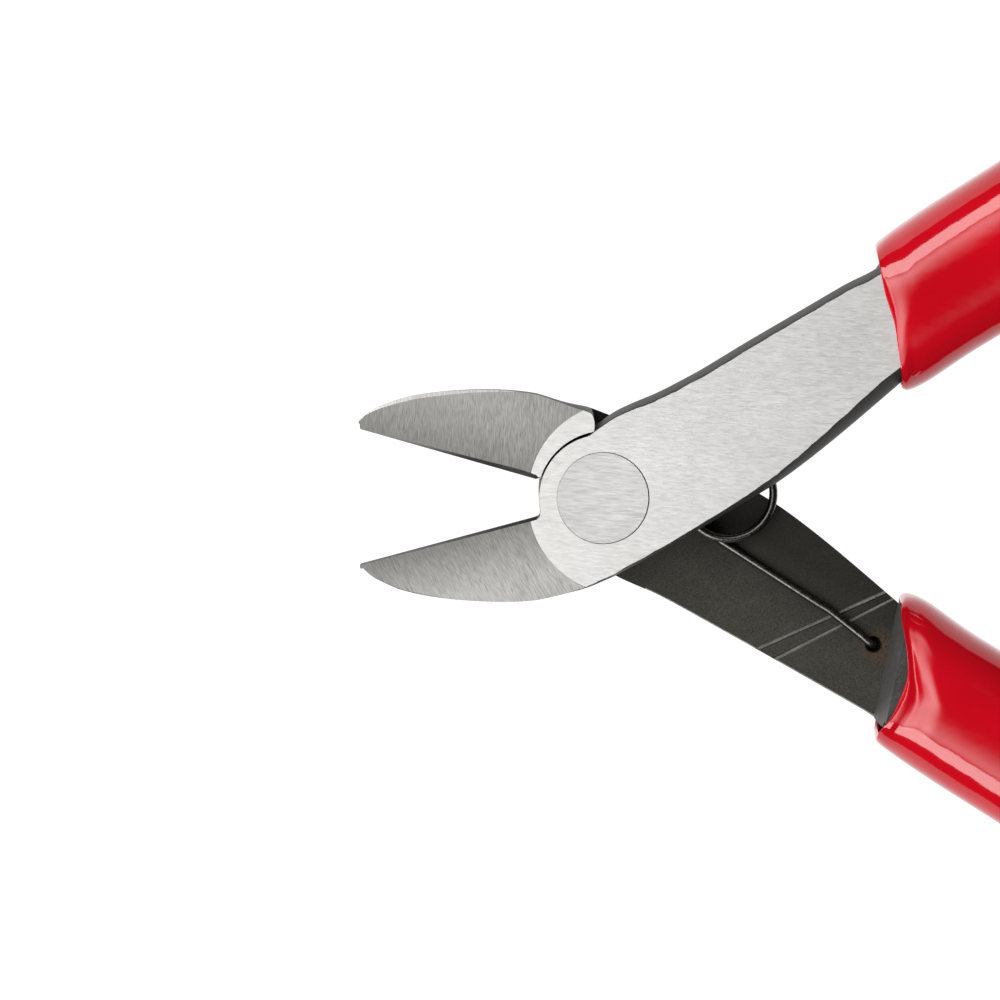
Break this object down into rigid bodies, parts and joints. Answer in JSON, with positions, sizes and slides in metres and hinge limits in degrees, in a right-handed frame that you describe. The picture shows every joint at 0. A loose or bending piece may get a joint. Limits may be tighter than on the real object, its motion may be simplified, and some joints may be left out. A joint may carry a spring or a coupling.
{
  "type": "mini flush-cutting pliers",
  "caption": "Small diagonal flush cutter: two half-lapped steel levers on one rivet, a torsion return spring between the handles, and a glossy red dipped sleeve on each handle.",
  "frame": {"origin": "centre of the pivot rivet's rear end face", "axes": "+X from the pivot along the tool's middle line towards the handle ends, +Z along the pivot axis out of the front face, +Y towards the front lever's handle"},
  "size_m": [0.1085, 0.0808, 0.0091],
  "materials": {
    "lever_steel": "blackened forging with ground bright faces",
    "rivet_steel": "ground bright",
    "red_vinyl": "glossy dipped vinyl",
    "spring_wire": "oil-blackened spring wire"
  },
  "bodies": {
    "front": {"front_lever": "lever_steel", "front_grip": "red_vinyl", "pivot_rivet": "rivet_steel"},
    "rear": {"rear_lever": "lever_steel", "rear_grip": "red_vinyl"},
    "spring_front": {"spring_front_arm": "spring_wire"},
    "spring_rear": {"spring_rear_arm": "spring_wire"}
  },
  "joints": [
    {"name": "jaw_pivot", "type": "hinge", "parent": "front", "child": "rear", "pos_m": [0, 0, 0.00325], "axis": [0, 0, 1], "range_deg": [0, 31], "stiffness_Nm_per_rad": 0.05, "springref_deg": -20.05},
    {"name": "spring_front_hook", "type": "hinge", "parent": "front", "child": "spring_front", "pos_m": [0.01815, 0.01027, 0.00325], "axis": [0, 0, 1], "range_deg": [-12, 0.5]},
    {"name": "spring_coil", "type": "hinge", "parent": "spring_front", "child": "spring_rear", "pos_m": [0.0084, 0, 0.00325], "axis": [0, 0, 1], "range_deg": [-0.5, 54]}
  ],
  "couplings": [
    {"joint": "spring_front_hook", "follows": "jaw_pivot", "ratio": -0.3394},
    {"joint": "spring_coil", "follows": "jaw_pivot", "ratio": 1.6788}
  ]
}
